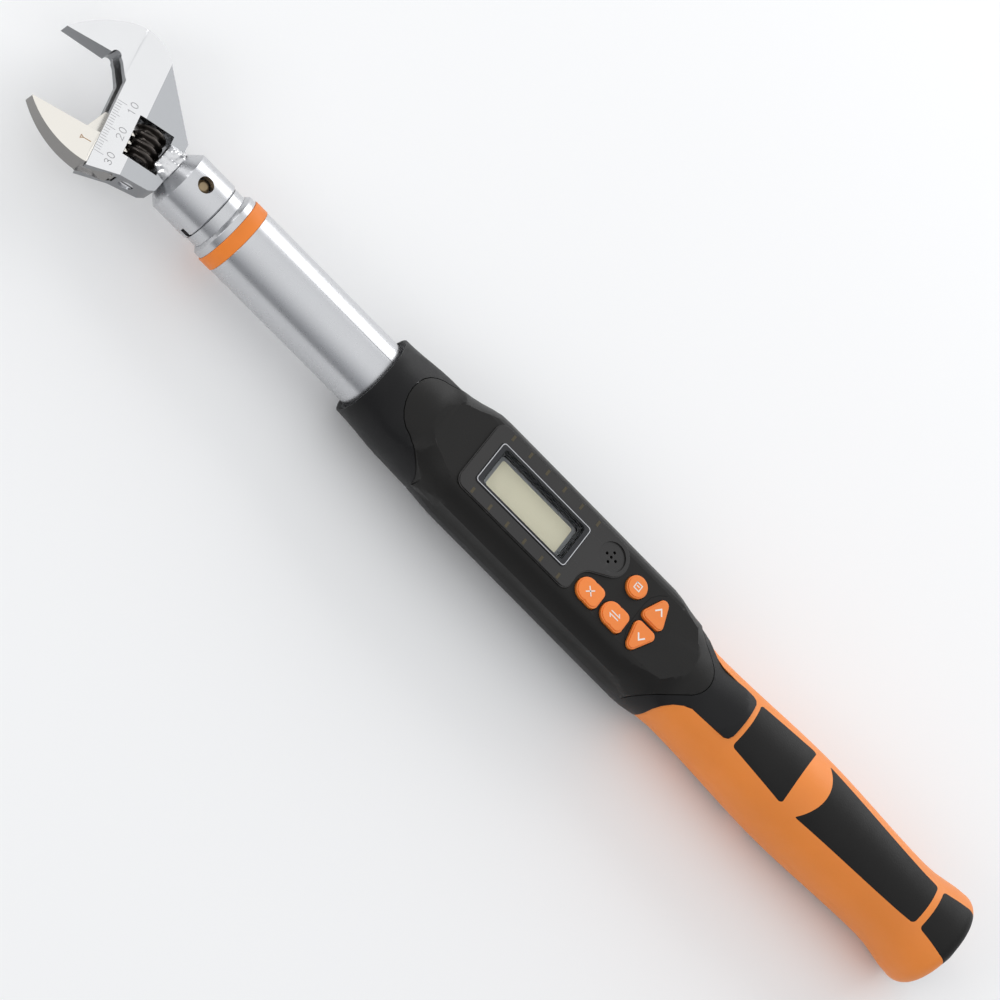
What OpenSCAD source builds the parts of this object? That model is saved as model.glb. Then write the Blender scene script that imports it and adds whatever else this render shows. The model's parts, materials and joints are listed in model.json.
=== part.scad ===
// Digital torque wrench with an adjustable open-jaw head on a 15 mm spigot.
// +X runs along the tool from the jaws to the butt, +Z is out of the display.
// The origin is on the flat of the battery cover, which the tool lies on.

/* [Head] */
// Angle of the jaws to the tool's axis
jaw_angle = 15; // [10:1:20]
// Jaw opening in the rest position
opening = 28; // [20:1:29]
// Thickness of the head across its slideway
head_t = 11.2; // [10:0.2:12]
// Thickness of the jaws at their tips
tip_t = 5.8; // [5:0.2:7]
// Pitch of the worm and of the jaw's rack
worm_pitch = 3.2; // [3.2:0.1:3.3]
// Outer radius of the worm
worm_r = 6.2; // [6:0.1:6.3]

/* [Front] */
// Radius of the head's socket
socket_r = 12; // [11.5:0.1:12.5]
// Radius of the spigot
spigot_r = 7.5; // [7:0.1:8]
// Outer radius of the steel tube
tube_r = 13.5; // [13.2:0.1:13.5]
// Wall of the steel tube
tube_wall = 2.9; // [2.5:0.1:3]

/* [Housing] */
// Height of the tool's axis over the surface that it lies on
axis_h = 20.4; // [20.4:0.1:21]
// Height of the flat deck over the axis
deck_h = 16.2; // [16:0.1:16.5]
// Height of the display panel over the axis
panel_h = 17.2; // [17:0.1:17.4]
// Half the width of the display panel
panel_half = 14.6; // [14:0.1:15]
// Wall of the plastic shells
shell_wall = 2.2; // [2:0.1:2.4]
// Height of a key over the deck
key_h = 1.5; // [1.2:0.1:2]

/* [Handle] */
// Distance from the origin to the end of the butt
butt_x = 213.5; // [212:0.5:216]
// Thickness of the soft orange layer
grip_t = 3; // [2.5:0.1:3.5]
// Distance of the handle's centre below the tool's axis
grip_drop = 0.8; // [0:0.1:1]
// Depth to which the black pads are set into it
pad_t = 1.2; // [1:0.1:1.5]

/* [Hidden] */
$fn = 64;
eps = 0.01;
gap = 0.1;        // between a piece and the one it slides in
seat = 0.02;      // between pressed or glued pieces

// Places along the axis
head_ref = [-210.5, 16.4];   // where the fixed jaw's plane meets the slideway
neck_x = -176.8;
socket_x = -172.9;
socket_end_x = -157.6;
detent_x = -166.6;
flange_x = -153.2;
ring_x = -149.5;
tube_x = -144.2;
tube_end_x = -52;
mouth_x = -80;
saddle_drop = 6;
tray_x = [-27, 27];
neck_end_x = 74;
bay_x = [-48, 57];           // the space inside the upper shell
board_bay_x = -40;           // where that space reaches its full height
seam = 0.3;                  // the visible line between the two shells
tongue_x = 95;
tongue_half = 9.7;
pad_corner_r = 1.5;
lever_half = 8.5;            // half width of the bar inside the housing
lever_t = 10;                // its thickness

// Worm and slideway, in the head's own frame: +X opens the jaw, -Y is towards the tips
rod_y = 8.2;
rod_r = 3.8;
rod_x = [19.2, 39.2];
jaw_travel = 20.2;
worm_y = 16.5;
worm_x = [16.2, 28.8];
window_x = [15, 30.5];
window_y = [9.5, 23.3];
web_half = 2.5;
worm_bore_r = 2.05;
rack_flat_y = 10.2;
groove_depth = 1.6;
tooth_h = 1.5;
tooth_half = 2.2;

// Display and keys
bezel_x = [-33.9, 9.6];
bezel_half = 9.1;
glass_x = [-30.6, 6.4];
glass_half = 6.7;
led_pitch = 8.37;
led_first_x = -31.9;
led_y = 12.6;
led_count = 6;
buzzer_pos = [21.1, 7.4];
clear_pos = [22.3, -8.15];
unit_pos = [34.4, -8.15];
memory_pos = [34.7, 6.1];
memory_r = 4.1;
key_gap = 0.3;
key_foot_z = 14.2;
board_z = 8.6;

// Radii along the housing and the grip, as [x, radius], with smooth steps between them
housing_stations = [[-80, 16.7], [-58, 18.2], [-48, 18.5], [-30, 19.6], [60, 19.9], [77, 17.4], [96, 17.7]];
cover_stations = [[-70, 17.5], [-58, 18.4], [-48, 18.8], [-34, 20.8], [50, 21], [62, 20], [77, 17.5]];
shoulder_stations = [[-58, 18.5], [-52, 18.9], [-36, 22.2], [48, 22.2], [62, 20.3], [77, 17.6]];
// Stations of the round body below the axis that gives both shells their saddle at the ends of the deck
saddle_stations = [[-81, 22.8], [-70, 21.3], [-57.5, 22.2], [-44, 28], [54, 28], [69.5, 22.2], [80, 21.3],
                   [96, 23.9]];
grip_stations = [[66, 18.2], [77, 17.4], [132, 19.2], [185, 17.4], [203.5, 19.8]];

function smooth(t) = t * t * (3 - 2 * t);
function radius_at(stations, x, i = 0) =
    x <= stations[0][0] ? stations[0][1]
    : i + 1 >= len(stations) ? stations[i][1]
    : x > stations[i + 1][0] ? radius_at(stations, x, i + 1)
    : let (a = stations[i], b = stations[i + 1])
      a[1] + (b[1] - a[1]) * smooth((x - a[0]) / (b[0] - a[0]));

// Points along an arc
function arc_points(c, r, from, to, n = 12) =
    [for (i = [0 : n]) let (a = from + (to - from) * i / n) c + r * [cos(a), sin(a)]];

// The corners of a convex outline, each rounded to radius r
function rounded(points, r) = [for (i = [0 : len(points) - 1])
    let (n = len(points), p = points[i],
         to_last = points[(i + n - 1) % n] - p, to_next = points[(i + 1) % n] - p,
         a = to_last / norm(to_last), b = to_next / norm(to_next), m = a + b, half = acos(a * b) / 2,
         out = atan2(-m[1], -m[0]), turn = sign(b[0] * a[1] - b[1] * a[0]) * (90 - half))
    each arc_points(p + m / norm(m) * r / sin(half), r, out - turn, out + turn, 6)];

// ---- helpers ----
module on_axis() { translate([0, 0, axis_h]) children(); }

module on_grip() { translate([0, 0, axis_h - grip_drop]) children(); }

module head_frame() {
    on_axis() translate([head_ref[0], head_ref[1], 0]) rotate([0, 0, jaw_angle - 90]) children();
}

// A cylinder along X from x0 to x1, with a second radius at x1
module rod(x0, x1, r, r_end = undef) {
    translate([x0, 0, 0]) rotate([0, 90, 0])
        cylinder(h = x1 - x0, r1 = r, r2 = is_undef(r_end) ? r : r_end);
}

// A tube along X
module pipe(x0, x1, r_out, r_in) {
    difference() {
        rod(x0, x1, r_out);
        rod(x0 - 1, x1 + 1, r_in);
    }
}

// A box from one corner to the other
module block(a, b) { translate(a) cube(b - a); }

// A box with the given half width on both sides of the axis
module bar(x, half, z) { block([x[0], -half, z[0]], [x[1], half, z[1]]); }

// A turned solid about the axis that follows a row of stations, less an inset
module turned(stations, x0, x1, inset = 0, step = 4) {
    n = ceil((x1 - x0) / step);
    xs = [for (i = [0 : n]) x0 + (x1 - x0) * i / n];
    rotate([0, 90, 0]) rotate_extrude($fn = 96)
        polygon(concat([[0, x0]], [for (x = xs) [radius_at(stations, x) - inset, x]], [[0, x1]]));
}

// A prism with its outline in plan, between two heights
module plan(z0, z1) { translate([0, 0, z0]) linear_extrude(z1 - z0) children(); }

module round_rect(x, half, r) {
    translate([(x[0] + x[1]) / 2, 0])
        for (inset = [[2 * r, 0], [0, 2 * r]]) square([x[1] - x[0], 2 * half] - inset, center = true);
    for (cx = [x[0] + r, x[1] - r], cy = [r - half, half - r]) translate([cx, cy]) circle(r);
}

// A helical spring along +Z
module spring(r, wire, height, turns) {
    sides = 6;
    rings = 12 * turns;
    points = [for (i = [0 : rings], j = [0 : sides - 1])
        let (a = 360 * turns * i / rings, b = 360 * j / sides, rr = r + wire * cos(b))
        [rr * cos(a), rr * sin(a), wire + (height - 2 * wire) * i / rings + wire * sin(b)]];
    faces = concat([[for (j = [sides - 1 : -1 : 0]) j]],
        [for (i = [0 : rings - 1], j = [0 : sides - 1])
            let (k = (j + 1) % sides)
            [i * sides + j, i * sides + k, (i + 1) * sides + k, (i + 1) * sides + j]],
        [[for (j = [0 : sides - 1]) rings * sides + j]]);
    polyhedron(points, faces);
}

// ---- head ----
// Half thickness of the head and the jaws over their length, as a profile in Y and Z
module head_profile(tip_y = -26, root_half = 5) {
    t = head_t / 2;
    polygon([[tip_y, -tip_t / 2], [-1, -root_half], [0, -t], [11.8, -t], [31, -4.2],
             [31, 4.2], [11.8, t], [0, t], [-1, root_half], [tip_y, tip_t / 2]]);
}

module head_slab(x0, x1) {
    translate([x0, 0, 0]) rotate([90, 0, 90]) linear_extrude(x1 - x0) head_profile();
}

module head_outline() {
    intersection() {
        translate([28.34, 7.59]) circle(43.3, $fn = 256);
        translate([-16, -26]) square([16 + eps, 16.1]);
    }
    intersection() {
        translate([3.62, -1.38]) circle(17.18, $fn = 192);
        translate([-16, -9.92]) square([16 + eps, 22]);
    }
    polygon([[-1, -4.6], [0.2, -4.6], [1.3, -3.5], [6.9, 0], [40.8, 0], [37.6, 11.8], [36.8, 22.8],
             [34, 27.8], [14.5, 28.9], [-8.6, 10.6]]);
}

// The head before its slideway and window are cut, up to the face that meets the socket
module head_plate() {
    intersection() {
        head_frame() intersection() {
            translate([0, 0, -10]) linear_extrude(20) head_outline();
            head_slab(-20, 45);
        }
        on_axis() block([-240, -30, -15], [neck_x - 0.2, 50, 15]);
    }
}

module head_cuts() {
    slot_x = rod_x[0] - jaw_travel - 0.3;
    block([window_x[0], window_y[0], -10], [window_x[1], window_y[1], 10]);
    translate([slot_x, rod_y, 0]) rotate([0, 90, 0]) cylinder(h = 60, r = rod_r + gap);
    block([slot_x, -5.6, -web_half - gap], [60, rod_y, web_half + gap]);
    block([slot_x, rod_y, -tooth_half - 0.2], [60, worm_y - 4.4, tooth_half + 0.2]);
    translate([8, worm_y, 0]) rotate([0, 90, 0]) cylinder(h = 40, r = 1.97);
    translate([34.2, worm_y, 0]) rotate([0, 90, 0]) cylinder(h = 10, r = 2.6);
    translate([0.4, -6.4, -10]) cylinder(h = 20, r = 1.8);
}

module head_body() {
    color("silver") difference() {
        head_plate();
        head_frame() head_cuts();
    }
}

module neck_weld() {
    color("gainsboro") difference() {
        on_axis() rod(neck_x - 6.5, neck_x - seat, 7.2, 8.3);
        head_plate();
    }
}

module moving_jaw_plate() {
    intersection() {
        translate([0, 0, -10]) linear_extrude(20) intersection() {
            translate([3.59, 0.82]) circle(36.13, $fn = 256);
            translate([opening, -25.4]) square([20, 25.3]);
        }
        head_slab(opening - 2, 45);
    }
}

module rack_tooth(x) {
    translate([x, rack_flat_y - 0.2, -tooth_half]) linear_extrude(2 * tooth_half)
        polygon([[-0.75, 0], [0.75, 0], [0.3, tooth_h + 0.2], [-0.3, tooth_h + 0.2]]);
}

module moving_jaw() {
    first = (worm_x[0] + worm_x[1]) / 2 - worm_pitch / 2;
    color("seashell") head_frame() {
        union() {
            moving_jaw_plate();
            translate([0, 0, -web_half]) linear_extrude(2 * web_half)
                polygon([[rod_x[0], -0.8], [opening + 0.5, -5.2], [opening + 8, -4],
                         [rod_x[1], -0.2], [rod_x[1] - 0.8, rod_y], [rod_x[0], rod_y]]);
            difference() {
                translate([rod_x[0], rod_y, 0]) rotate([0, 90, 0])
                    cylinder(h = rod_x[1] - rod_x[0] - 0.8, r = rod_r);
                block([0, rack_flat_y, -9], [60, 20, 9]);
            }
            for (k = [0 : 5]) rack_tooth(first + k * worm_pitch);
        }
    }
}

// The worm is a surface whose radius follows the thread, about an axis along X
module worm() {
    around = 40;
    along = 32;
    length = worm_x[1] - worm_x[0];
    mid = (worm_x[0] + worm_x[1]) / 2;
    function thread(x, a) =
        let (phase = 360 * (x - mid) / worm_pitch - a, end = min(x - worm_x[0], worm_x[1] - x))
        min(worm_r - groove_depth / 2 + groove_depth / 2 * max(-1, min(1, 1.5 * cos(phase))),
            worm_r - 0.6 + end);
    outer = [for (i = [0 : along], j = [0 : around - 1])
        let (x = worm_x[0] + length * i / along, a = 360 * j / around, r = thread(x, a))
        [x, worm_y - r * cos(a), r * sin(a)]];
    inner = [for (x = worm_x, j = [0 : around - 1])
        let (a = 360 * j / around) [x, worm_y - worm_bore_r * cos(a), worm_bore_r * sin(a)]];
    base = len(outer);
    faces = [for (i = [0 : along - 1], j = [0 : around - 1])
            let (k = (j + 1) % around)
            [i * around + j, i * around + k, (i + 1) * around + k, (i + 1) * around + j]];
    bore = [for (j = [0 : around - 1]) let (k = (j + 1) % around)
            [base + j, base + around + j, base + around + k, base + k]];
    front = [for (j = [0 : around - 1]) let (k = (j + 1) % around) [j, base + j, base + k, k]];
    back = [for (j = [0 : around - 1]) let (k = (j + 1) % around, m = along * around)
            [m + j, m + k, base + around + k, base + around + j]];
    color("dimgray") head_frame() polyhedron(concat(outer, inner), concat(faces, bore, front, back));
}

module worm_pin() {
    color("darkgray") head_frame() difference() {
        union() {
            translate([8.2, worm_y, 0]) rotate([0, 90, 0]) cylinder(h = 27, r = 1.95);
            translate([34.4, worm_y, 0]) rotate([0, 90, 0]) cylinder(h = 2.4, r = 2.55);
        }
        block([36, worm_y - 4, -0.4], [40, worm_y + 4, 0.4]);
    }
}

module worm_spring() {
    color("silver") head_frame() translate([window_x[1] - 0.05, worm_y, 0]) rotate([0, -90, 0])
        spring(3, 0.25, window_x[1] - worm_x[1] - 0.1, 1.5);
}

module head_socket() {
    color("lightgray") on_axis() difference() {
        union() {
            rod(neck_x, socket_x, 8.3, socket_r);
            rod(socket_x, socket_end_x - 0.6, socket_r);
            rod(socket_end_x - 0.6, socket_end_x, socket_r, socket_r - 0.6);
        }
        rod(socket_x - 1, socket_end_x + 1, spigot_r + 0.05);
        translate([detent_x, 0, 0]) cylinder(h = 20, r = 2.95);
        block([socket_end_x - 3.6, -20, -1.15], [socket_end_x + 1, 0, 1.15]);
    }
}

// ---- front ----
module sensor_beam() {
    plug_r = tube_r - tube_wall - seat;
    color("lightgray") on_axis() difference() {
        union() {
            rod(socket_x - 0.8, socket_x, spigot_r - 0.8, spigot_r);
            rod(socket_x, socket_end_x + 1, spigot_r);
            rod(socket_end_x + 0.15, flange_x, 11.5);
            rod(flange_x, ring_x, 10.5);
            rod(ring_x, -135, plug_r);
            bar([-136, -94], 6, [-7, 7]);
            rod(-95, -54, plug_r);
        }
        translate([detent_x, 0, -4]) cylinder(h = 20, r = 2.75);
        translate([socket_end_x - 1.8, 1, 0]) rotate([90, 0, 0]) cylinder(h = 20, r = 1.02);
        bar([-79, -50], 8.6, [-5.1, 5.1]);
        for (x = [-72, -62]) translate([x, 0, -20]) cylinder(h = 40, r = 2.52);
    }
}

module strain_gauges() {
    color("goldenrod") on_axis() for (x = [-124, -106], side = [-1, 1])
        translate([x - 3, side * 6.2 - 0.18, -2.5]) cube([6, 0.36, 5]);
}

module detent_pin() {
    color("tan") on_axis() translate([detent_x, 0, 0]) {
        translate([0, 0, 1]) cylinder(h = 7.6, r = 2.68);
        translate([0, 0, 8.6]) cylinder(h = 1.2, r1 = 2.68, r2 = 1.5);
    }
}

module detent_spring() {
    color("silver") on_axis() translate([detent_x, 0, -3.95]) spring(2, 0.3, 4.9, 4);
}

module key_pin() {
    color("dimgray") on_axis() translate([socket_end_x - 1.8, 0.9, 0]) rotate([90, 0, 0])
        cylinder(h = 11.2, r = 1);
}

module flange_ring() {
    color("silver") on_axis() difference() {
        union() {
            rod(flange_x + seat, flange_x + 1.2, 12, tube_r - 0.3);
            rod(flange_x + 1.2, ring_x - seat, tube_r - 0.3);
        }
        rod(flange_x - 1, ring_x + 1, 10.52);
    }
}

module id_ring() {
    color("darkorange") on_axis() pipe(ring_x, tube_x - seat, tube_r + 0.15, tube_r - 0.8);
}

module front_tube() {
    color("silver") on_axis() difference() {
        union() {
            rod(ring_x, tube_x, tube_r - 0.82);
            rod(tube_x, tube_end_x, tube_r);
        }
        rod(ring_x - 1, tube_end_x + 1, tube_r - tube_wall);
        for (x = [-72, -62]) translate([x, 0, -20]) cylinder(h = 40, r = 2.52);
    }
}

module tube_pins() {
    color("dimgray") on_axis() for (x = [-72, -62]) translate([x, 0, 0.4 - tube_r])
        cylinder(h = 2 * tube_r - 0.8, r = 2.5);
}

module lever_bar() {
    color("slategray") on_axis() difference() {
        bar([-78, 194], lever_half, [-lever_t / 2, lever_t / 2]);
        for (x = [-72, -62]) translate([x, 0, -20]) cylinder(h = 40, r = 2.52);
        translate([0, 0, -grip_drop]) rod(182, 195, 2.1);
    }
}

// ---- housing ----
// The outline in plan of the upper shell, which narrows to a round nose at each end
module cover_outline(clear = 0) {
    polygon(concat([[-46 + clear, 22], [-46 + clear, 18.6]], arc_points([-57.3, 0], 12.6 - clear, 100, 260),
                   [[-46 + clear, -18.6], [-46 + clear, -22], [57 - clear, -22]],
                   arc_points([67.6, 0], 10 - clear, -45, 45), [[57 - clear, 22]]));
}

// Cross-section of the raised deck, drawn in Y and Z
module deck_section() {
    corner_r = 7.2;
    corner = [13, deck_h - corner_r];
    polygon(concat([[19.4, 0.5], [20.2, 4]], arc_points(corner, corner_r, 0, 90, 8),
                   arc_points([-corner[0], corner[1]], corner_r, 90, 180, 8), [[-20.2, 4], [-19.4, 0.5]]));
}

module saddle() { translate([0, 0, -saddle_drop]) turned(saddle_stations, -81, 96); }

// The upper shell's outside: a turned body and the deck, cut to the shoulders, the saddle and the outline
module cover_solid() {
    intersection() {
        union() {
            turned(cover_stations, -70, 80);
            translate([-58, 0, 0]) rotate([90, 0, 90]) linear_extrude(130) deck_section();
        }
        turned(shoulder_stations, -70, 80);
        saddle();
        plan(0.52, deck_h) cover_outline(seam);
    }
}

// The panel's outline, which winds between the clear key and the buzzer
module panel_outline(clear = 0) {
    edge = panel_half - 4;
    polygon(concat(arc_points([-35, edge], 4 - clear, 90, 180), arc_points([-35, -edge], 4 - clear, 180, 270),
                   arc_points([12.3, 3.2 - panel_half], 3.2 - clear, -90, 10),
                   arc_points(clear_pos, 6.9 + clear, 190, 115),
                   arc_points(buzzer_pos, panel_half - buzzer_pos[1] - clear, -62, 90)));
}

module key_places(grow = 0) {
    key_d_shape(clear_pos, grow);
    key_d_shape(unit_pos, grow);
    translate(memory_pos) circle(memory_r + grow);
    key_arrow(1, grow);
    key_arrow(-1, grow);
}

module key_d_shape(centre, grow = 0) {
    translate(centre) {
        intersection() {
            translate([-1.1, 0]) circle(4.35 + grow);
            translate([-8, -8]) square([9, 16]);
        }
        translate([2, 0]) round_rect([-3.2 - grow, 3.2 + grow], 4.35 + grow, 2.2);
    }
}

// A triangle with rounded corners, which are given anticlockwise
module rounded_triangle(corners, r) {
    function turn(i) = let (a = corners[i], b = corners[(i + 1) % 3]) atan2(b[1] - a[1], b[0] - a[0]) - 90;
    polygon([for (i = [0 : 2], k = [0 : 6])
        let (from = turn((i + 2) % 3), sweep = (turn(i) - from + 720) % 360, a = from + sweep * k / 6)
        corners[i] + r * [cos(a), sin(a)]]);
}

module key_arrow(side, grow = 0) {
    up_corners = [[43.6, 1.5], [49, 1.5], [46.4, 8.2]];
    down_corners = [[43.7, -4], [45.3, -10.8], [48.8, -4]];
    rounded_triangle(side > 0 ? up_corners : down_corners, 2 + grow);
}

// The lower shell's outline in plan: at the rear it sweeps in from both sides to a tongue over the grip
module shell_outline(clear = 0) {
    side = [[neck_end_x - 6, 30], [neck_end_x - 5.4, 17.5], [neck_end_x - 4, 15.2], [neck_end_x - 1.8, 13],
            [neck_end_x + 1, 11.2], [neck_end_x + 4, 10.1], [tongue_x - 2, tongue_half],
            [tongue_x - 0.6, tongue_half - 0.7], [tongue_x, tongue_half - 2.2]];
    grown = [for (p = side) [p[0] + clear, p[1] + clear]];
    mirrored = [for (i = [len(grown) - 1 : -1 : 0]) [grown[i][0], -grown[i][1]]];
    polygon(concat([[mouth_x - 10, 30]], grown, mirrored, [[mouth_x - 10, -30]]));
}

module lower_housing() {
    color([0.11, 0.11, 0.12]) on_axis() difference() {
        intersection() {
            turned(housing_stations, mouth_x, tongue_x);
            plan(-30, 30) shell_outline();
            saddle();
        }
        plan(0.5, 30) cover_outline();
        rod(mouth_x - 1, tube_end_x + 0.4, tube_r + 0.1);
        rod(mouth_x - 1, mouth_x + 3, tube_r + 1.6);
        rod(mouth_x - eps, mouth_x + 1, tube_r + 2.5, tube_r + 1.5);
        intersection() {
            turned(housing_stations, tube_end_x, 56, shell_wall);
            block([tube_end_x, -30, -30], [56, 30, 0.6]);
        }
        rod(55, tongue_x + 1, 14.2);
        bar([tray_x[0] - 1.2, tray_x[1] + 15.2], 13, [-30, -5]);
        housing_screw_holes();
    }
}

module housing_screw_holes(r = 1.3) {
    for (x = [-44, 50], side = [-1, 1]) translate([x, side * 14.5, -30]) cylinder(h = 60, r = r);
}

module mouth_seal() {
    color([0.2, 0.2, 0.21]) on_axis() difference() {
        rod(mouth_x + 0.7, mouth_x + 3 - seat, tube_r + 1.58);
        rod(mouth_x - 1, mouth_x + 4, tube_r + 0.12);
    }
}

module top_cover() {
    color([0.14, 0.14, 0.14]) on_axis() difference() {
        cover_solid();
        rod(mouth_x, tube_end_x + 0.4, tube_r + 0.1);
        bar([tube_end_x, bay_x[0] + 1], lever_half + 1, [0, lever_t / 2 + 0.5]);
        bar(bay_x, 16.6, [0, 5]);
        bar([tube_end_x + 2, bay_x[1]], 12.8, [4, 11]);
        bar([board_bay_x, bay_x[1]], 13.4, [4, 14.1]);
        rod(56, 80, 14.2);
        plan(13.6, 30) panel_outline(-seat);
        plan(10, 30) key_places(key_gap);
        port_shape(0.05);
        bar([tube_end_x, 60], 30, [-2, 0.5]);
    }
}

module port_shape(grow = 0) {
    translate([30.5, 18.6, 8]) rotate([-64, 0, 0]) translate([0, 0, -1.8]) linear_extrude(4.2 + grow)
        round_rect_centred(14.5 + 2 * grow, 6 + 2 * grow);
}

module round_rect_centred(w, h) {
    round_rect([-w / 2, w / 2], h / 2, h / 2 - 0.5);
}

module port_plug() {
    color([0.09, 0.09, 0.1]) on_axis() difference() {
        intersection() {
            port_shape();
            rod(20, 42, 21.5);
        }
        bar([20, 40], 16.62, [0, 5.02]);
        bar([20, 40], 13.42, [4, 14.1]);
    }
}

module display_panel() {
    color([0.17, 0.17, 0.17]) on_axis() difference() {
        union() {
            plan(13.62, panel_h - 0.5) panel_outline();
            plan(panel_h - 0.5, panel_h) panel_outline(0.4);
        }
        plan(10, 30) round_rect([bezel_x[0] - seat, bezel_x[1] + seat], bezel_half + seat, 1.4);
        translate([buzzer_pos[0], buzzer_pos[1], panel_h - 0.7]) cylinder(h = 5, r = 5.4);
        for (p = [[0, 0], [2.1, 0], [-2.1, 0], [0, 2.1], [0, -2.1]])
            translate([buzzer_pos[0] + p[0], buzzer_pos[1] + p[1], 10]) cylinder(h = 10, r = 0.55);
    }
}

module display_bezel() {
    color([0.25, 0.25, 0.26]) on_axis() difference() {
        plan(13.7, panel_h + 0.4) round_rect(bezel_x, bezel_half, 1.4);
        plan(15.2, 30) round_rect([glass_x[0] - 1, glass_x[1] + 1], glass_half + 1, 1.4);
        plan(10, 30) round_rect(glass_x, glass_half, 1.6);
    }
}

module display_lens() {
    color([0.75, 0.8, 0.82, 0.4]) on_axis() plan(15.22, 16.6)
        round_rect([glass_x[0] - 0.9, glass_x[1] + 0.9], glass_half + 0.9, 1.3);
}

module lcd_module() {
    color([0.76, 0.72, 0.6]) on_axis() plan(10.4, 13.4)
        round_rect([glass_x[0] - 2, glass_x[1] + 2], glass_half + 1.2, 0.8);
}

module circuit_board() {
    color([0.05, 0.35, 0.18]) on_axis() plan(board_z, board_z + 1.6) difference() {
        round_rect([-46, 55], 12.4, 2);
        for (x = [-42, 50]) translate([x, 0]) circle(1.6);
    }
}

module led_lights() {
    color([0.8, 0.9, 0.7]) on_axis() for (k = [0 : led_count - 1], side = [-1, 1])
        translate([led_first_x + k * led_pitch - 1, side * (led_y - 1.4) - 0.7, board_z + 1.62])
            cube([2, 1.4, 3.3]);
}

module buzzer() {
    color([0.1, 0.1, 0.1]) on_axis() translate([buzzer_pos[0], buzzer_pos[1], board_z + 1.62])
        cylinder(h = 3.2, r = 4.4);
}

module key_mat() {
    color([0.25, 0.25, 0.27]) on_axis() plan(board_z + 1.62, board_z + 2.8) difference() {
        round_rect([16.8, 53], 12.8, 2);
        translate(buzzer_pos) circle(4.6);
    }
}

// A key from its wide foot under the deck to its cap; the children are the foot, the stem and the top
module key_solid() {
    color("darkorange") on_axis() {
        plan(key_foot_z - 1.6, key_foot_z - 0.3) intersection() {
            children(0);
            square([200, 26.2], center = true);
        }
        plan(key_foot_z - 0.31, deck_h + key_h - 0.5) children(1);
        plan(deck_h + key_h - 0.51, deck_h + key_h) children(2);
    }
}

module key_clear() {
    key_solid() {
        key_d_shape(clear_pos, 0.6);
        key_d_shape(clear_pos);
        key_d_shape(clear_pos, -0.5);
    }
}

module key_unit() {
    key_solid() {
        key_d_shape(unit_pos, 0.6);
        key_d_shape(unit_pos);
        key_d_shape(unit_pos, -0.5);
    }
}

module key_memory() {
    key_solid() {
        translate(memory_pos) circle(memory_r + 0.6);
        translate(memory_pos) circle(memory_r);
        translate(memory_pos) circle(memory_r - 0.5);
    }
}

module key_up() {
    key_solid() {
        key_arrow(1, 0.6);
        key_arrow(1);
        key_arrow(1, -0.5);
    }
}

module key_down() {
    key_solid() {
        key_arrow(-1, 0.6);
        key_arrow(-1);
        key_arrow(-1, -0.5);
    }
}

// ---- battery bay ----
module battery_tray() {
    color([0.15, 0.15, 0.16]) on_axis() difference() {
        bar(tray_x, 12.9, [-17.2, -5.3]);
        for (side = [-1, 1]) translate([0, side * 5.8, -11.9]) rod(tray_x[0] + 1.5, tray_x[1] - 1.5, 5.6);
        bar([tray_x[0] + 1.5, tray_x[1] - 1.5], 11.4, [-18, -12]);
    }
}

module battery_cells() {
    color("steelblue") on_axis() for (side = [-1, 1]) translate([0, side * 5.8, -11.9]) {
        rod(-22, 21.5, 5.25);
        rod(21.5, 22.4, 1.9);
    }
}

module battery_contacts() {
    color("silver") on_axis() for (side = [-1, 1]) {
        translate([-22.05, side * 5.8, -11.9]) rotate([0, -90, 0]) spring(2.6, 0.35, 3.4, 2);
        translate([22.45, side * 5.8 - 3.5, -15.6]) cube([0.4, 7, 7]);
    }
}

module battery_cover() {
    color([0.1, 0.1, 0.11]) on_axis() difference() {
        union() {
            intersection() {
                bar([tray_x[0] - 1.1, tray_x[1] + 15.1], 12.9, [-axis_h, -17.3]);
                rod(tray_x[0] - 2, tray_x[1] + 16, 21.5);
            }
            bar([tray_x[1] + 1, tray_x[1] + 14], 8, [-17.31, -16]);
        }
        for (k = [0 : 5]) bar([tray_x[0] + 3 + 2.4 * k, tray_x[0] + 4.2 + 2.4 * k], 8, [-30, 0.5 - axis_h]);
        translate([tray_x[1] + 9, 0, -30]) cylinder(h = 30, r = 1.6);
        translate([tray_x[1] + 9, 0, -30]) cylinder(h = 30 - axis_h + 2, r = 3.1);
    }
}

module battery_screws() {
    color("silver") on_axis() translate([tray_x[1] + 9, 0, 0]) difference() {
        union() {
            translate([0, 0, -19]) cylinder(h = 8, r = 1.55);
            translate([0, 0, -19.9]) cylinder(h = 1.48, r = 2.9);
        }
        for (a = [0, 90]) rotate([0, 0, a]) translate([-2, -0.35, -21]) cube([4, 0.7, 1.8]);
    }
}

module housing_screws() {
    color("dimgray") on_axis() for (x = [-44, 50], side = [-1, 1]) translate([x, side * 14.5, -11]) {
        cylinder(h = 14, r = 1.25);
    }
}

// ---- handle ----
module grip_solid(inset = 0, x0 = 66, x1 = 203.5) {
    turned(grip_stations, x0, x1, inset, 5);
    butt_dome(inset, x1);
}

// The rounded end of the handle
module butt_dome(inset, x0) {
    r = radius_at(grip_stations, 203.5) - inset;
    length = butt_x - inset - x0;
    edge = 5;
    rotate([0, 90, 0]) rotate_extrude($fn = 96) polygon(concat([[0, x0]],
        [for (a = [0 : 10 : 90]) [r - edge + edge * cos(a), x0 + 5.5 * sin(a) * length / 10]],
        [for (f = [0.8 : -0.2 : 0]) [(r - edge) * f, x0 + length * (1 - 0.45 * f * f)]]));
}

module grip_core() {
    color([0.3, 0.3, 0.32]) on_grip() difference() {
        union() {
            translate([0, 0, grip_drop]) rod(57, neck_end_x + 22, 14.1);
            grip_solid(grip_t + gap, 95, 197);
        }
        translate([0, 0, grip_drop]) bar([50, 194.2], 8.6, [-5.1, 5.1]);
        rod(190, 240, 4);
    }
}

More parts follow.
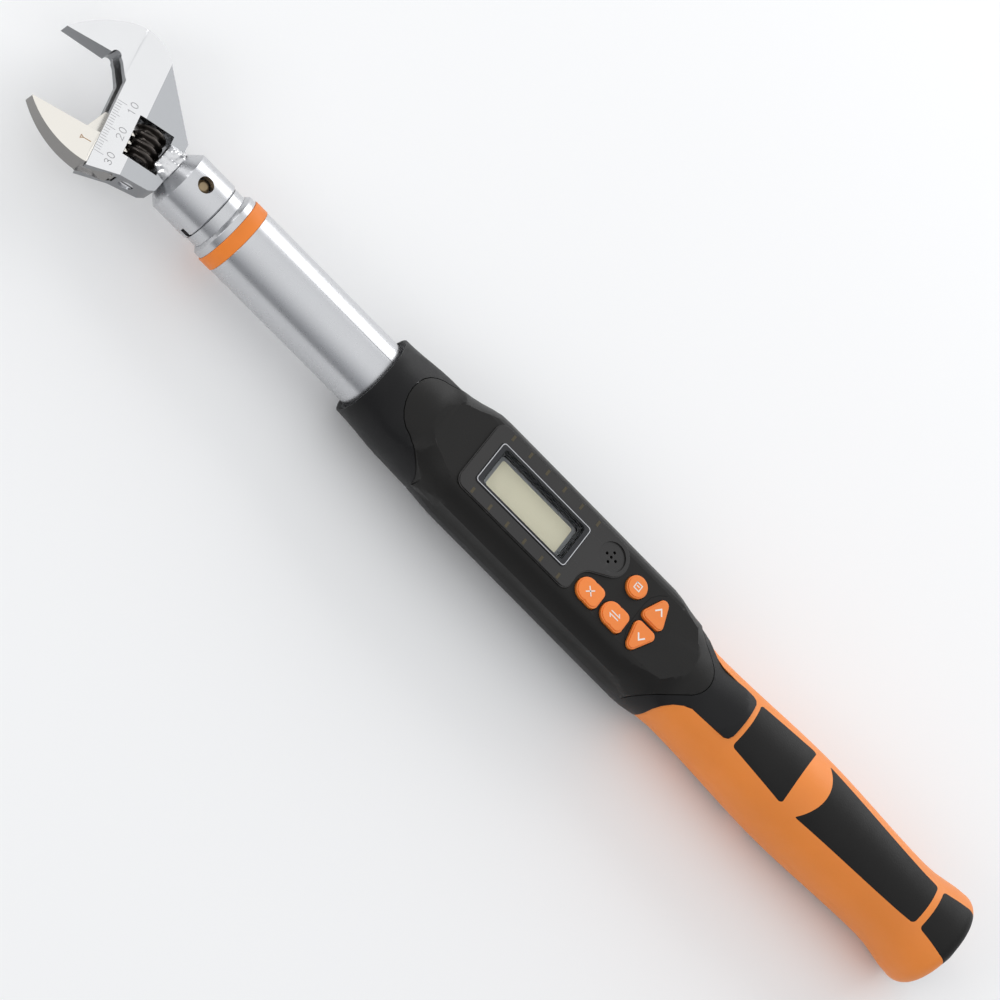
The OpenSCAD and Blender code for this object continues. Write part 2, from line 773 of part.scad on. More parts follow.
// The soft layer: a shell round the core, cut back where the housing's neck and the pads are
module grip_sleeve() {
    color("darkorange") on_grip() difference() {
        grip_solid();
        translate([0, 0, grip_drop]) rod(60, 96 + seat, 14.22);
        grip_solid(grip_t, 95 - seat, 197 + seat);
        plan(-30, 30) shell_outline(seat);
        pads_cut();
        rod(190, 240, 6);
    }
}

module pad_front_outline() {
    difference() {
        polygon(rounded([[97.2, -9.7], [97.2, 9.7], [124.2, 12], [124.2, -12]], pad_corner_r));
        translate([164.5, 0]) circle(42, $fn = 128);
    }
}

module pad_rear_outline() {
    difference() {
        polygon(rounded([[130.5, -12], [130.5, 12], [189.8, 8.6], [189.8, -8.6]], pad_corner_r));
        translate([116, 0]) circle(19.2, $fn = 96);
    }
}

module butt_pad_outline() {
    polygon(rounded([[192.4, -8.4], [192.4, 8.4], [204, 10.6], [220, 10.6], [220, -10.6], [204, -10.6]],
                    pad_corner_r));
}

// A ring of the handle's own surface, from its outside to the pads' depth
module pad_shell(clear = 0) {
    difference() {
        grip_solid(0.001, 80);
        grip_solid(pad_t - clear, 79);
    }
}

module both_sides() {
    for (side = [0, 1]) mirror([0, 0, side]) children();
}

module pads_cut() {
    difference() {
        grip_solid(-1, 80);
        grip_solid(pad_t, 79);
        difference() {
            rod(60, 240, 40);
            both_sides() plan(4, 40) union() {
                pad_front_outline();
                pad_rear_outline();
            }
            plan(-40, 40) butt_pad_outline();
        }
    }
}

module grip_pad_front() {
    color([0.13, 0.13, 0.14]) on_grip() intersection() {
        pad_shell(seat);
        both_sides() plan(4, 40) pad_front_outline();
    }
}

module grip_pad_rear() {
    color([0.13, 0.13, 0.14]) on_grip() intersection() {
        pad_shell(seat);
        both_sides() plan(4, 40) pad_rear_outline();
    }
}

module butt_pad() {
    color([0.13, 0.13, 0.14]) on_grip() difference() {
        intersection() {
            pad_shell(seat);
            plan(-40, 40) butt_pad_outline();
        }
        rod(190, 240, 6);
    }
}

module butt_plug() {
    color([0.1, 0.1, 0.1]) on_grip() difference() {
        rod(butt_x - 2.9, butt_x - 0.3, 5.9);
        rod(190, 240, 2.2);
        rod(butt_x - 2.2, 240, 4.1);
    }
}

module butt_screw() {
    color("silver") on_grip() difference() {
        union() {
            rod(183, butt_x - 2.1, 2.05);
            rod(butt_x - 2.15, butt_x - 0.6, 3.9);
        }
        translate([butt_x - 1.4, 0, 0]) rotate([0, 90, 0]) cylinder(h = 5, r = 2, $fn = 6);
    }
}

head_body();
head_socket();
neck_weld();
moving_jaw();
worm();
worm_pin();
worm_spring();
sensor_beam();
strain_gauges();
detent_pin();
detent_spring();
key_pin();
flange_ring();
id_ring();
front_tube();
tube_pins();
lever_bar();
lower_housing();
mouth_seal();
top_cover();
display_panel();
display_bezel();
display_lens();
lcd_module();
circuit_board();
led_lights();
buzzer();
key_mat();
key_clear();
key_unit();
key_memory();
key_up();
key_down();
port_plug();
battery_tray();
battery_cells();
battery_contacts();
battery_cover();
battery_screws();
housing_screws();
grip_core();
grip_sleeve();
grip_pad_front();
grip_pad_rear();
butt_pad();
butt_plug();
butt_screw();
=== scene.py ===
import json
import math
import bpy
from mathutils import Matrix, Vector


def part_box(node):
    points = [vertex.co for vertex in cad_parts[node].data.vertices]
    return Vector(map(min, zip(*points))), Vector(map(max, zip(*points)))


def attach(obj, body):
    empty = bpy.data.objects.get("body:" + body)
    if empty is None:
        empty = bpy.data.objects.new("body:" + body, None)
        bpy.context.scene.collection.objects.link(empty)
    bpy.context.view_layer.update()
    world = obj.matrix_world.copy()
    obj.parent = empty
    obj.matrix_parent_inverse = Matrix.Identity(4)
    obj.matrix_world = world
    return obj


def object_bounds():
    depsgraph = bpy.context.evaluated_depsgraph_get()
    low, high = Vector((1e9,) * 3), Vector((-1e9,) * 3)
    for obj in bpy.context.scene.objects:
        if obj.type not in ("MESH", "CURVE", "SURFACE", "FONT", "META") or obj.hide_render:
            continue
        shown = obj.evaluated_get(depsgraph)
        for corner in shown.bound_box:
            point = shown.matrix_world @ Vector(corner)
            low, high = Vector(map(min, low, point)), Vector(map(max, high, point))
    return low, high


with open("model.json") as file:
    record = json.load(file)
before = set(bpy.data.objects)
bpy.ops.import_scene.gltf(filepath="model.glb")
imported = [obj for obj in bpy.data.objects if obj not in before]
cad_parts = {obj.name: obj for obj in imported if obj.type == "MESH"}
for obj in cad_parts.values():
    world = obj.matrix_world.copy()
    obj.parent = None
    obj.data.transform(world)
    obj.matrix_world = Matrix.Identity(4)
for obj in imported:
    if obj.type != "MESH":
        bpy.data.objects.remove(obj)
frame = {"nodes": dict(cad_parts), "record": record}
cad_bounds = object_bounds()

MM = 0.001
record = frame["record"]
nodes = frame["nodes"]
slot_of = {s["node"]: s["material_slot"] for s in record["subparts"]}
mounts = {m["name"]: m for m in record["mounts"]}


# ---- places, from the CAD ----
def middle(node):
    lo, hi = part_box(node)
    return [(a + b) / 2 for a, b in zip(lo, hi)]


AXIS_Z = middle("front_tube")[2]
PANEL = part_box("display_panel")
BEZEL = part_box("display_bezel")
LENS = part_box("display_lens")
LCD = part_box("lcd_module")

# The head's frame: X opens the jaw, -Y is towards the tips, and the origin is on the fixed jaw's plane
OPEN = Vector(mounts["fixed_jaw_face"]["axis"])
BACK = Vector((-OPEN.y, OPEN.x, 0))
FACE_TO_ORIGIN = 15 * MM     # from the middle of the jaw face back to the frame's origin
HEAD = Matrix.Translation(Vector(mounts["fixed_jaw_face"]["pos_m"]) + FACE_TO_ORIGIN * BACK) @ Matrix(
    ((OPEN.x, BACK.x, 0, 0), (OPEN.y, BACK.y, 0, 0), (0, 0, 1, 0), (0, 0, 0, 1)))
NECK_START = 11.8 * MM       # where the bright band ends and the neck begins, back from the origin


# ---- materials ----
NOISE_RANGE = (0.3, 0.7)     # most of a noise texture's values lie between these
WALL_TO_FLAT = (0.50, 0.80)  # how much of a normal points up on a side wall, and on a flat


def socket(node, name, value):
    node.inputs[name].default_value = value


class Finish:
    """A principled material with helpers for procedural variation."""

    def __init__(self, name, color, rough, metallic=0.0, **extra):
        self.mat = bpy.data.materials.new(name)
        self.mat.use_nodes = True
        self.tree = self.mat.node_tree
        self.bsdf = self.tree.nodes["Principled BSDF"]
        socket(self.bsdf, "Base Color", (*color, 1))
        socket(self.bsdf, "Roughness", rough)
        socket(self.bsdf, "Metallic", metallic)
        for key, value in extra.items():
            socket(self.bsdf, key.replace("_", " "), value)
        self.color, self.rough = color, rough
        self.coords = self.tree.nodes.new("ShaderNodeTexCoord").outputs["Object"]
        self.normal = None

    def link(self, a, b):
        self.tree.links.new(a, b)

    def noise(self, scale, detail=4.0, stretch=(1, 1, 1)):
        mapping = self.tree.nodes.new("ShaderNodeMapping")
        socket(mapping, "Scale", stretch)
        self.link(self.coords, mapping.inputs["Vector"])
        tex = self.tree.nodes.new("ShaderNodeTexNoise")
        socket(tex, "Scale", scale)
        socket(tex, "Detail", detail)
        self.link(mapping.outputs["Vector"], tex.inputs["Vector"])
        return tex.outputs["Fac"]

    def cells(self, scale):
        tex = self.tree.nodes.new("ShaderNodeTexVoronoi")
        socket(tex, "Scale", scale)
        self.link(self.coords, tex.inputs["Vector"])
        return tex.outputs["Distance"]

    def spread(self, fac, low, high):
        node = self.tree.nodes.new("ShaderNodeMapRange")
        socket(node, "From Min", NOISE_RANGE[0])
        socket(node, "From Max", NOISE_RANGE[1])
        socket(node, "To Min", low)
        socket(node, "To Max", high)
        self.link(fac, node.inputs["Value"])
        return node.outputs["Result"]

    def vary_rough(self, fac, amount):
        rough = self.spread(fac, self.rough - amount, self.rough + amount)
        self.link(rough, self.bsdf.inputs["Roughness"])
        return self

    def vary_color(self, fac, amount):
        """The colour moves by amount towards a darker and a lighter self."""
        dark = [c * (1 - amount) for c in self.color]
        light = [min(1, c * (1 + amount)) for c in self.color]
        mix = self.tree.nodes.new("ShaderNodeMix")
        mix.data_type = "RGBA"
        mix.inputs["A"].default_value = (*dark, 1)
        mix.inputs["B"].default_value = (*light, 1)
        self.link(self.spread(fac, 0.0, 1.0), mix.inputs["Factor"])
        self.link(mix.outputs["Result"], self.bsdf.inputs["Base Color"])
        return self

    def mask(self, value, low, high):
        """0 below low and 1 above high."""
        node = self.tree.nodes.new("ShaderNodeMapRange")
        socket(node, "From Min", low)
        socket(node, "From Max", high)
        self.link(value, node.inputs["Value"])
        return node.outputs["Result"]

    def flatness(self):
        """1 where the surface faces up or down in the part's own frame, 0 on its side walls."""
        split = self.tree.nodes.new("ShaderNodeSeparateXYZ")
        self.link(self.tree.nodes["Texture Coordinate"].outputs["Normal"], split.inputs["Vector"])
        size = self.tree.nodes.new("ShaderNodeMath")
        size.operation = "ABSOLUTE"
        self.link(split.outputs["Z"], size.inputs[0])
        return self.mask(size.outputs["Value"], *WALL_TO_FLAT)

    def beyond(self, origin, direction, distance):
        """1 past a plane across the part, at a distance from origin along direction."""
        along = self.tree.nodes.new("ShaderNodeVectorMath")
        along.operation = "DOT_PRODUCT"
        self.link(self.coords, along.inputs[0])
        along.inputs[1].default_value = direction
        edge = Vector(origin).dot(Vector(direction)) + distance
        return self.mask(along.outputs["Value"], edge, edge + 0.1 * MM)

    def blend_color(self, fac, color, where_zero=False):
        """The base colour so far gives way to a colour where fac is 1, or where it is 0."""
        mix = self.tree.nodes.new("ShaderNodeMix")
        mix.data_type = "RGBA"
        base = self.bsdf.inputs["Base Color"].links[0].from_socket
        first, second = ("B", "A") if where_zero else ("A", "B")
        self.link(base, mix.inputs[first])
        mix.inputs[second].default_value = (*color, 1)
        self.link(fac, mix.inputs["Factor"])
        self.link(mix.outputs["Result"], self.bsdf.inputs["Base Color"])
        return self

    def bump(self, fac, strength, distance):
        node = self.tree.nodes.new("ShaderNodeBump")
        socket(node, "Strength", strength)
        socket(node, "Distance", distance)
        self.link(fac, node.inputs["Height"])
        if self.normal is not None:
            self.link(self.normal, node.inputs["Normal"])
        self.normal = node.outputs["Normal"]
        self.link(self.normal, self.bsdf.inputs["Normal"])
        return self


def chrome(name, color, rough, grain=0.04):
    f = Finish(name, color, rough, 1.0)
    f.vary_rough(f.noise(500, 4), grain * 0.4)
    f.vary_color(f.noise(60, 3), 0.012)
    f.bump(f.noise(1800, 2), grain, 0.00002)
    return f


def plastic(name, color, rough, grain, size=2400.0):
    f = Finish(name, color, rough, 0.0, Specular_IOR_Level=0.24)
    f.vary_rough(f.noise(60, 4), 0.05)
    f.vary_color(f.noise(40, 4), 0.12)
    f.bump(f.cells(size), grain, 0.00005)
    f.bump(f.noise(300, 4), grain * 0.5, 0.00005)
    return f


MATS = {}


def add(slot, finish):
    MATS[slot] = finish.mat


# The head's and the jaw's flats stay bright. Their side walls and the head's neck are painted
# darker: painted shade for the dimmer reflections that these slopes catch.
head_chrome = chrome("satin_chrome", (0.84, 0.84, 0.845), 0.25)
# The neck past NECK_START is painted darker: painted shade for its sloped facet
head_chrome.blend_color(head_chrome.beyond(HEAD.translation, BACK, NECK_START), (0.52, 0.53, 0.545))
# The side walls are painted darker: painted shade
head_chrome.blend_color(head_chrome.flatness(), (0.25, 0.255, 0.265), where_zero=True)
add("satin_chrome", head_chrome)
jaw_chrome = chrome("jaw_chrome", (0.87, 0.835, 0.77), 0.25)
# The jaw's side walls are painted darker: painted shade
jaw_chrome.blend_color(jaw_chrome.flatness(), (0.28, 0.27, 0.26), where_zero=True)
add("jaw_chrome", jaw_chrome)
turned_chrome = chrome("turned_chrome", (0.58, 0.585, 0.60), 0.28, 0.03)
add("bright_steel", chrome("bright_steel", (0.66, 0.66, 0.68), 0.22))
weld = chrome("weld_bead", (0.70, 0.70, 0.71), 0.25, 0.3)
weld.bump(weld.noise(260, 2), 0.5, 0.0006)
add("weld_bead", weld)
worm = Finish("phosphate", (0.075, 0.066, 0.060), 0.28, 0.9)
worm.vary_rough(worm.noise(400, 4), 0.10)
worm.vary_color(worm.noise(150, 4), 0.3)
worm.bump(worm.noise(900, 3), 0.25, 0.0001)
add("phosphate", worm)
add("brass_pin", chrome("brass_pin", (0.34, 0.26, 0.16), 0.45))
add("gauge_foil", chrome("gauge_foil", (0.70, 0.48, 0.16), 0.4))
# Colour, roughness and grain of each plain plastic or rubber, and the grain's size where it differs
PLASTICS = {"orange_ring": ((0.83, 0.23, 0.035), 0.42, 0.15),
            # black_shell is darker than black_cover: painted shade for the shell's side walls
            "black_shell": ((0.0058, 0.0057, 0.0062), 0.45, 0.35),
            "black_cover": ((0.0088, 0.0082, 0.0075), 0.45, 0.35),
            "bezel_grey": ((0.030, 0.031, 0.034), 0.32, 0.10),
            "board": ((0.01, 0.10, 0.04), 0.35, 0.1),
            "led": ((0.55, 0.42, 0.18), 0.3, 0.1),
            "buzzer_black": ((0.012, 0.012, 0.012), 0.6, 0.2),
            "mat_rubber": ((0.03, 0.03, 0.032), 0.6, 0.3),
            "port_rubber": ((0.012, 0.012, 0.012), 0.6, 0.35),
            "tray_plastic": ((0.02, 0.02, 0.02), 0.5, 0.3),
            "cell_wrap": ((0.03, 0.09, 0.22), 0.3, 0.05),
            "core_plastic": ((0.025, 0.025, 0.028), 0.5, 0.3),
            "black_pad": ((0.0085, 0.0080, 0.0076), 0.55, 0.6, 1500.0)}
for slot_name, look in PLASTICS.items():
    add(slot_name, plastic(slot_name, *look))

panel = Finish("smoked_panel", (0.0105, 0.0092, 0.0085), 0.26, 0.0,
               Coat_Weight=0.2, Coat_Roughness=0.12)
panel.vary_rough(panel.noise(70, 3), 0.04)
panel.vary_color(panel.noise(30, 3), 0.15)
panel.bump(panel.noise(500, 2), 0.05, 0.00003)
add("smoked_panel", panel)

lcd = Finish("lcd", (0.78, 0.73, 0.56), 0.45)
lcd.vary_color(lcd.noise(25, 2), 0.04)
lcd.bump(lcd.noise(3000, 1), 0.1, 0.00002)
add("lcd", lcd)

glass = Finish("display_glass", (0.95, 0.96, 0.95), 0.04, 0.0,
               Transmission_Weight=1.0, IOR=1.12)
glass.vary_rough(glass.noise(40, 3), 0.03)
add("display_glass", glass)


def orange(name, color, rough, grain, size):
    f = Finish(name, color, rough, 0.0, Subsurface_Weight=0.06)
    socket(f.bsdf, "Subsurface Radius", (0.002, 0.0008, 0.0003))
    f.vary_rough(f.noise(50, 4), 0.05)
    f.vary_color(f.noise(30, 4), 0.05)
    f.bump(f.noise(size, 5), grain, 0.00012)
    return f


add("orange_grip", orange("orange_grip", (0.86, 0.255, 0.036), 0.50, 0.55, 1100.0))
add("orange_key", orange("orange_key", (0.88, 0.235, 0.036), 0.38, 0.12, 900.0))

white = plastic("legend_white", (0.85, 0.82, 0.78), 0.5, 0.05)
dark_line = plastic("engraved_line", (0.30, 0.30, 0.305), 0.55, 0.1)
led_glow = plastic("led_mark", (0.080, 0.066, 0.040), 0.4, 0.1)
# Dark strips and lines of painted shade, for the slots and the crease below
seam_dark = plastic("seam", (0.004, 0.004, 0.004), 0.7, 0.2)
pointer_mark = plastic("pointer_mark", (0.42, 0.26, 0.14), 0.5, 0.1)
rim_silver = chrome("rim_silver", (0.62, 0.62, 0.64), 0.25)
lcd_frame = plastic("lcd_frame", (0.23, 0.235, 0.245), 0.45, 0.1)


# ---- CAD nodes: finishes and edges ----
BEVELS = {"head_body": 0.5, "moving_jaw": 0.45, "key_clear": 0.55, "key_unit": 0.55, "key_memory": 0.55,
          "key_up": 0.55, "key_down": 0.55, "display_panel": 0.25, "display_bezel": 0.2, "id_ring": 0.25,
          "front_tube": 0.2, "port_plug": 0.4, "battery_cover": 0.35, "butt_plug": 0.2}
TURNED = ("front_tube", "head_socket", "sensor_beam", "flange_ring")
PLAIN_EDGES = ("display_lens", "mouth_seal")     # thin pieces whose edges stay as the CAD has them
SMALL_BEVEL = 0.12           # mm, on every other node
FINE_BEVEL = 0.2             # mm: wider bevels take one segment more
MERGE = 2e-6                 # m: vertices nearer than this are one
BEVEL_ANGLE, SHARP_ANGLE = math.radians(35), math.radians(32)


def finish_node(name):
    obj = nodes[name]
    obj.data.materials.clear()
    obj.data.materials.append(turned_chrome.mat if name in TURNED else MATS[slot_of[name]])
    for p in obj.data.polygons:
        p.material_index = 0
        p.use_smooth = True
    if obj.data.has_custom_normals:
        with bpy.context.temp_override(object=obj, active_object=obj, selected_objects=[obj]):
            bpy.ops.mesh.customdata_custom_splitnormals_clear()
    weld_mod = obj.modifiers.new("weld", "WELD")
    weld_mod.merge_threshold = MERGE
    if name not in PLAIN_EDGES:
        width = BEVELS.get(name, SMALL_BEVEL)
        bevel = obj.modifiers.new("bevel", "BEVEL")
        bevel.width = width * MM
        bevel.segments = 3 if width > FINE_BEVEL else 2
        bevel.limit_method = "ANGLE"
        bevel.angle_limit = BEVEL_ANGLE
        bevel.use_clamp_overlap = True
    obj.data.set_sharp_from_angle(angle=SHARP_ANGLE)
    flat = obj.modifiers.new("flat faces", "WEIGHTED_NORMAL")
    flat.keep_sharp = True
    flat.weight = 60


for node_name in nodes:
    finish_node(node_name)


def roughen_weld():
    """The weld between the head and its socket is an uneven bead."""
    obj = nodes["neck_weld"]
    remesh = obj.modifiers.new("bead", "REMESH")
    remesh.mode, remesh.voxel_size, remesh.use_smooth_shade = "VOXEL", 0.35 * MM, True
    lumps = bpy.data.textures.new("weld lumps", "CLOUDS")
    lumps.noise_scale = 3.2 * MM
    displace = obj.modifiers.new("lumps", "DISPLACE")
    displace.texture, displace.strength, displace.mid_level = lumps, 1.3 * MM, 0.45
    displace.texture_coords = "LOCAL"


roughen_weld()


# ---- added pieces ----
def mesh_piece(name, verts, faces, mat, body, smooth=False):
    mesh = bpy.data.meshes.new(name)
    mesh.from_pydata([tuple(v) for v in verts], [], faces)
    mesh.materials.append(mat.mat if isinstance(mat, Finish) else mat)
    mesh.validate()
    obj = bpy.data.objects.new(name, mesh)
    bpy.context.scene.collection.objects.link(obj)
    for p in mesh.polygons:
        p.use_smooth = smooth
    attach(obj, body)
    return obj


def strokes(paths, width, z0, z1, frame_matrix):
    """Ribbons of one width along flat paths in mm, between two heights: vertices and faces."""
    verts, faces = [], []
    for path in paths:
        pts = [Vector(p) for p in path]
        n = len(pts)
        sides = []
        for i, p in enumerate(pts):
            before = (p - pts[i - 1]).normalized() if i else (pts[1] - p).normalized()
            after = (pts[i + 1] - p).normalized() if i + 1 < n else before
            along = (before + after).normalized()
            across = Vector((-along.y, along.x))
            grow = 1 / max(0.5, abs(along.dot(before)))
            end = along * (-width * 0.3 if i == 0 else width * 0.3 if i == n - 1 else 0)
            sides.append((p + end + across * width / 2 * grow, p + end - across * width / 2 * grow))
        base = len(verts)
        for z in (z0, z1):
            for a, b in sides:
                verts += [frame_matrix @ Vector((a.x * MM, a.y * MM, z * MM)),
                          frame_matrix @ Vector((b.x * MM, b.y * MM, z * MM))]
        top = 2 * n
        for i in range(n - 1):
            k = base + 2 * i
            faces += [(k, k + 2, k + 3, k + 1), (top + k, top + k + 1, top + k + 3, top + k + 2),
                      (k, top + k, top + k + 2, k + 2), (k + 1, k + 3, top + k + 3, top + k + 1)]
        last = base + 2 * (n - 1)
        faces += [(base, base + 1, base + top + 1, base + top),
                  (last, last + top, last + top + 1, last + 1)]
    return verts, faces


SINK, PROUD = 0.05, 0.012    # mm: how far a mark reaches into its surface, and stands above it


def line_piece(name, paths, width, heights, frame_matrix, mat, body):
    """A piece drawn as strokes between two heights in mm, in the frame given."""
    verts, faces = strokes(paths, width, *heights, frame_matrix)
    return mesh_piece(name, verts, faces, mat, body)


def frame_at(x, y, z):
    """The row frame moved to a place, in metres."""
    return Matrix.Translation(Vector((x, y, z)))


def arc(cx, cy, r, a0, a1, n=10, ry=None):
    """Points along an arc from angle a0 to a1 in degrees, or along an ellipse where ry is given."""
    ry = r if ry is None else ry
    return [(cx + r * math.cos(math.radians(a0 + (a1 - a0) * i / n)),
             cy + ry * math.sin(math.radians(a0 + (a1 - a0) * i / n))) for i in range(n + 1)]


DIGITS = {"1": [[(-0.35, 0.6), (0.05, 1.0), (0.05, -1.0)]],
          "2": [arc(0, 0.42, 0.55, 170, -30, 8, 0.55) + [(-0.55, -1.0), (0.6, -1.0)]],
          "3": [arc(0, 0.48, 0.5, 160, -90, 8, 0.5), arc(0, -0.45, 0.55, 90, -160, 8, 0.55)],
          "0": [arc(0, 0, 0.58, 90, 450, 18, 1.0)]}


def digits(text, x, y, size, turn=0.0, gap=1.9):
    """Paths of a number's digits, centred on x and y, turned by some degrees."""
    c, s = math.cos(math.radians(turn)), math.sin(math.radians(turn))
    out = []
    for i, ch in enumerate(text):
        shift = (i - (len(text) - 1) / 2) * gap
        out += [[(x + size * ((px + shift) * c - py * s), y + size * ((px + shift) * s + py * c))
                 for px, py in path] for path in DIGITS[ch]]
    return out


# Engraved millimetre scale on the head, in the head's frame
SCALE_ZERO = 4.5             # mm along X, where the scale's 0 would be
SCALE_FOOT = 0.3             # mm along Y, where its ticks start
NUMBERS_Y, NUMBERS_SIZE = 6.3, 1.35
head_top = (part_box("head_body")[1][2] - AXIS_Z) / MM
engraved = (head_top - SINK, head_top + PROUD)
ticks = []
for k in range(10, 31):
    length = 3.6 if k % 10 == 0 else 3.0 if k % 5 == 0 else 2.0
    ticks.append([(SCALE_ZERO + k, SCALE_FOOT), (SCALE_ZERO + k, SCALE_FOOT + length)])
line_piece("head_scale_ticks", ticks, 0.16, engraved, HEAD, dark_line, "tool")
marks = []
for reading in (10, 20, 30):
    marks += digits(str(reading), SCALE_ZERO + reading, NUMBERS_Y, NUMBERS_SIZE, 180)
line_piece("head_scale_numbers", marks, 0.24, engraved, HEAD, dark_line, "tool")

# The pointer on the moving jaw, whose face slopes down to the tip
JAW_SLOPE = math.atan2(2.1, 25)
jaw_face = (HEAD @ Matrix.Translation(Vector((0, -MM, 5.0 * MM)))
            @ Matrix.Rotation(JAW_SLOPE, 4, "X"))
stem = [(32.5, -0.6), (32.5, -3.6)]
tip = [(31.9, -4.4), (32.5, -3.4), (33.1, -4.4), (31.9, -4.4)]
line_piece("jaw_pointer", [stem, tip], 0.3, (-SINK, PROUD), jaw_face, pointer_mark,
           "jaw")

# Key legends: plain symbols in white, each with the body that it rides on
LEGENDS = {"key_clear": ("clear_key", [[(-1.2, -1.2), (1.2, 1.2)], [(-1.2, 1.2), (1.2, -1.2)]]),
           "key_unit": ("unit_key", [[(-1.9, 0.6), (1.9, 0.6), (1.1, 1.5)],
                                     [(1.9, -0.6), (-1.9, -0.6), (-1.1, -1.5)]]),
           "key_memory": ("memory_key", [[(-1.2, 1.2), (-1.2, -1.2), (1.2, -1.2), (1.2, 1.2),
                                          (-1.2, 1.2)], [(-0.5, 0.1), (0.5, 0.1)]]),
           "key_up": ("up_key", [[(-1.5, -0.4), (0.0, 1.5), (1.5, -0.4)]]),
           "key_down": ("down_key", [[(-1.5, 0.9), (0.0, -1.0), (1.5, 0.9)]])}
ARROW_LINE, LEGEND_LINE, LEGEND_PROUD = 0.55, 0.42, 0.015
for key, (body, paths) in LEGENDS.items():
    width = ARROW_LINE if key in ("key_up", "key_down") else LEGEND_LINE
    key_x, key_y, _ = middle(key)
    key_top = frame_at(key_x, key_y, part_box(key)[1][2])
    line_piece("legend_" + key, paths, width, (-SINK, LEGEND_PROUD), key_top, white,
               body)


def ring(x0, x1, half, r, n=8):
    """A closed rounded rectangle."""
    corners = ((x1 - r, half - r), (x0 + r, half - r), (x0 + r, r - half), (x1 - r, r - half))
    pts = []
    for quarter, (cx, cy) in enumerate(corners):
        pts += arc(cx, cy, r, 90 * quarter, 90 * quarter + 90, n)
    return pts


def ring_band(name, outer, inner, z0, z1, mat, body):
    """A flat frame between two outlines of as many points, in mm, with its heights in metres."""
    n = len(outer)
    verts = []
    for z in (z0, z1):
        verts += [(x * MM, y * MM, z) for x, y in outer + inner]
    faces = []
    for i in range(n):
        j = (i + 1) % n
        faces += [(i, n + i, n + j, j), (2 * n + i, 2 * n + j, 3 * n + j, 3 * n + i),
                  (i, j, 2 * n + j, 2 * n + i), (n + i, 3 * n + i, 3 * n + j, n + j)]
    return mesh_piece(name, verts, faces, mat, body)


def inset(box, along, across, r):
    """A ring inside a node's box, which is symmetric about the axis, at some mm from its sides."""
    (x0, _, _), (x1, half, _) = box
    return ring(x0 / MM + along, x1 / MM - along, half / MM - across, r)


# Display: a bright line round the bezel and a grey frame round the liquid crystal
ring_band("bezel_rim", inset(BEZEL, 0.25, 0.25, 1.3), inset(BEZEL, 0.5, 0.5, 1.15),
          BEZEL[1][2] - 0.00005, BEZEL[1][2] + 0.00002, rim_silver, "tool")
ring_band("lcd_surround", inset(LENS, 0.4, 0.4, 1.5), inset(LENS, 2.3, 1.9, 1.0),
          LCD[1][2] + 0.00004, LCD[1][2] + 0.00030, lcd_frame, "tool")

# Light marks along both edges of the panel, in mm
LED_X, LED_PITCH = -31.9, 8.37
LED_ROW = 12.7               # from the axis to each row
LED_PROUD = 0.04
leds = []
for k in range(6):
    for side in (-1, 1):
        x, y = LED_X + LED_PITCH * k, side * LED_ROW
        leds.append([(x, y - 1.0 * side), (x, y + 0.7 * side)])
line_piece("led_windows", leds, 1.0, (-SINK, LED_PROUD), frame_at(0, 0, PANEL[1][2]), led_glow,
           "tool")

# Slots in the panel's side walls, which show between the deck and its top edge: dark strips of painted
# shade
PANEL_HALF = PANEL[1][1]
SLOT_DEPTH = 0.75 * MM       # from the panel's top down to the slots
SLOT_ENDS = (1.2, 7.2)       # mm along the axis, after each light mark
for side, where in ((-1, "left"), (1, "right")):
    wall = Matrix(((-side, 0, 0, 0),
                   (0, 0, side, side * PANEL_HALF),
                   (0, 1, 0, PANEL[1][2] - SLOT_DEPTH),
                   (0, 0, 0, 1)))
    slots = [[(-side * (LED_X + LED_PITCH * k + end), 0) for end in SLOT_ENDS] for k in range(5)]
    line_piece("panel_slots_" + where, slots, 0.55, (-SINK, PROUD), wall, seam_dark,
               "tool")

# A crease in the deck round the arrow keys, drawn as a dark line of painted shade
deck = frame_at(0, 0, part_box("top_cover")[1][2])
crease = [(45.6, 12.3), (43.2, 10.4), (41.2, 7.4), (40.6, 4.0),
          (40.5, -4.0), (41.0, -8.0), (42.4, -11.0), (44.6, -13.2)]
line_piece("deck_crease", [crease], 0.32, (-SINK, PROUD), deck, seam_dark, "tool")


# ---- floor, light, camera ----
floor_z = cad_bounds[0][2]
bpy.ops.mesh.primitive_plane_add(size=6, location=(0, 0, floor_z))
floor = bpy.context.object
floor.name = "floor"
floor_mat = Finish("floor_white", (0.93, 0.93, 0.93), 0.6)
floor_mat.vary_color(floor_mat.noise(3, 2), 0.004)
floor.data.materials.append(floor_mat.mat)

# The photograph looks down on the tool, a little from the head's end, and turned about the view
TILT, LEAN, ROLL = math.radians(13.0), math.radians(28.0), math.radians(45.2)
DISTANCE = 1.410             # m, from the camera to what it aims at
AIM_X, AIM_SHIFT = -0.018, 0.0011
SENSOR, FOCAL_LENGTH, FAR = 36, 148.716, 20
back = Vector((-math.sin(TILT), -math.sin(LEAN) * math.cos(TILT), math.cos(LEAN) * math.cos(TILT)))
along = Vector((math.cos(TILT), -math.sin(LEAN) * math.sin(TILT), math.cos(LEAN) * math.sin(TILT)))
across = Vector((0, math.cos(LEAN), math.sin(LEAN)))
right = along * math.cos(ROLL) + across * math.sin(ROLL)
up = -along * math.sin(ROLL) + across * math.cos(ROLL)
target = Vector((AIM_X, 0, AXIS_Z)) + AIM_SHIFT * across
cam_data = bpy.data.cameras.new("camera")
cam = bpy.data.objects.new("camera", cam_data)
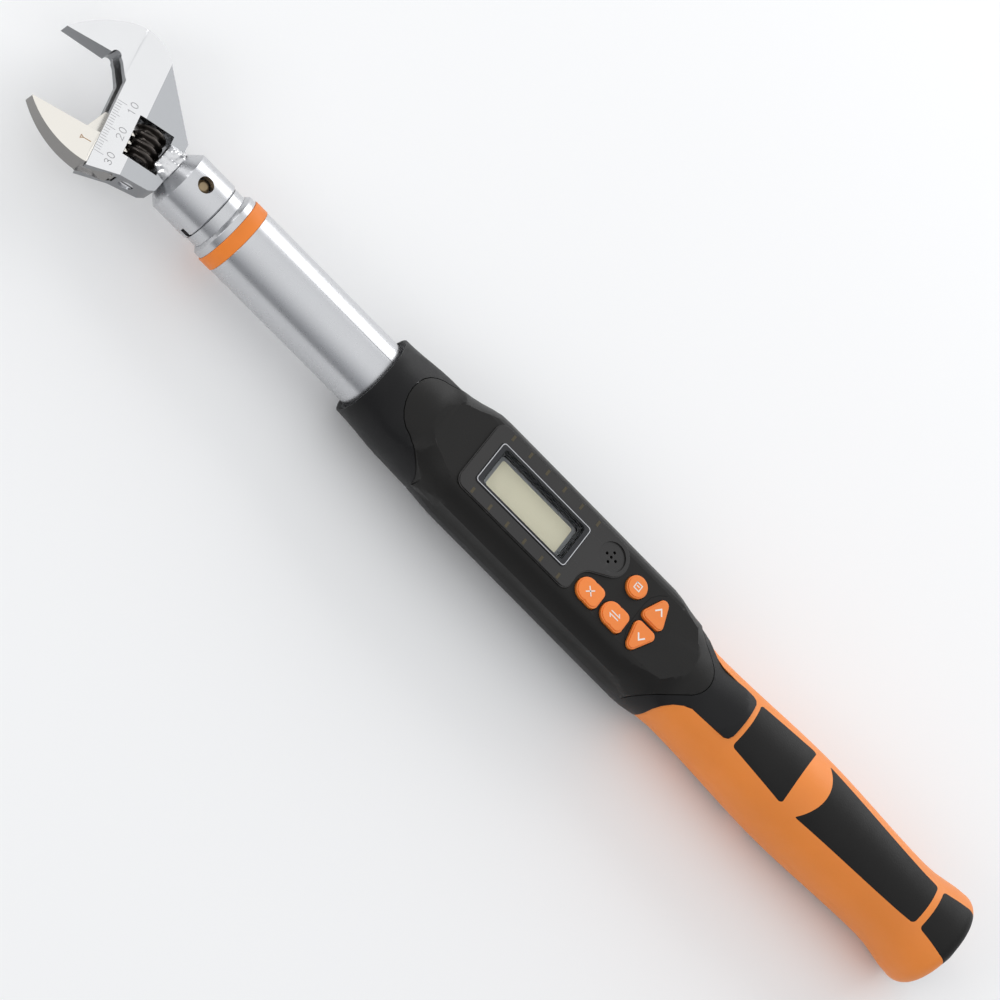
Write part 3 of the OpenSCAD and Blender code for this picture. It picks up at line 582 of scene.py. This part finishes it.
bpy.context.scene.collection.objects.link(cam)
cam.matrix_world = Matrix(((right.x, up.x, back.x, 0),
                           (right.y, up.y, back.y, 0),
                           (right.z, up.z, back.z, 0),
                           (0, 0, 0, 1)))
cam.location = target + DISTANCE * back
cam_data.sensor_width = SENSOR
cam_data.lens = FOCAL_LENGTH
cam_data.clip_end = FAR
bpy.context.scene.camera = cam


def area(name, location, aim, size, power, size_y=None):
    """An area light, in metres and watts, square unless its second side is given."""
    data = bpy.data.lights.new(name, "AREA")
    data.energy = power
    data.size = size
    if size_y:
        data.shape, data.size_y = "RECTANGLE", size_y
    obj = bpy.data.objects.new(name, data)
    bpy.context.scene.collection.objects.link(obj)
    obj.location = location
    obj.rotation_euler = (Vector(aim) - Vector(location)).to_track_quat("-Z", "Y").to_euler()
    return obj


area("key", (0.30, 1.20, 0.52), (0, 0, 0), size=1.3, power=7.5, size_y=0.9)
area("fill", (-0.9, -0.9, 0.7), (-0.1, 0, 0), size=0.5, power=2.6)
area("front", (-1.2, 0.4, 0.5), (-0.1, 0, 0), size=0.4, power=1.2)

# The sky, darker at the horizon than overhead
world = bpy.data.worlds.new("world")
bpy.context.scene.world = world
world.use_nodes = True
sky = world.node_tree
coords = sky.nodes.new("ShaderNodeTexCoord")
split = sky.nodes.new("ShaderNodeSeparateXYZ")
ramp = sky.nodes.new("ShaderNodeValToRGB")
sky.links.new(coords.outputs["Generated"], split.inputs["Vector"])
sky.links.new(split.outputs["Z"], ramp.inputs["Fac"])
horizon, overhead = ramp.color_ramp.elements
horizon.position, horizon.color = 0.0, (0.16, 0.165, 0.175, 1)
overhead.position, overhead.color = 0.95, (0.98, 0.99, 1.0, 1)
ramp.color_ramp.elements.new(0.45).color = (0.46, 0.47, 0.49, 1)
sky.links.new(ramp.outputs["Color"], sky.nodes["Background"].inputs["Color"])
sky.nodes["Background"].inputs["Strength"].default_value = 1.0
bpy.context.scene.view_settings.view_transform = "Standard"
bpy.context.scene.view_settings.exposure = 0.10
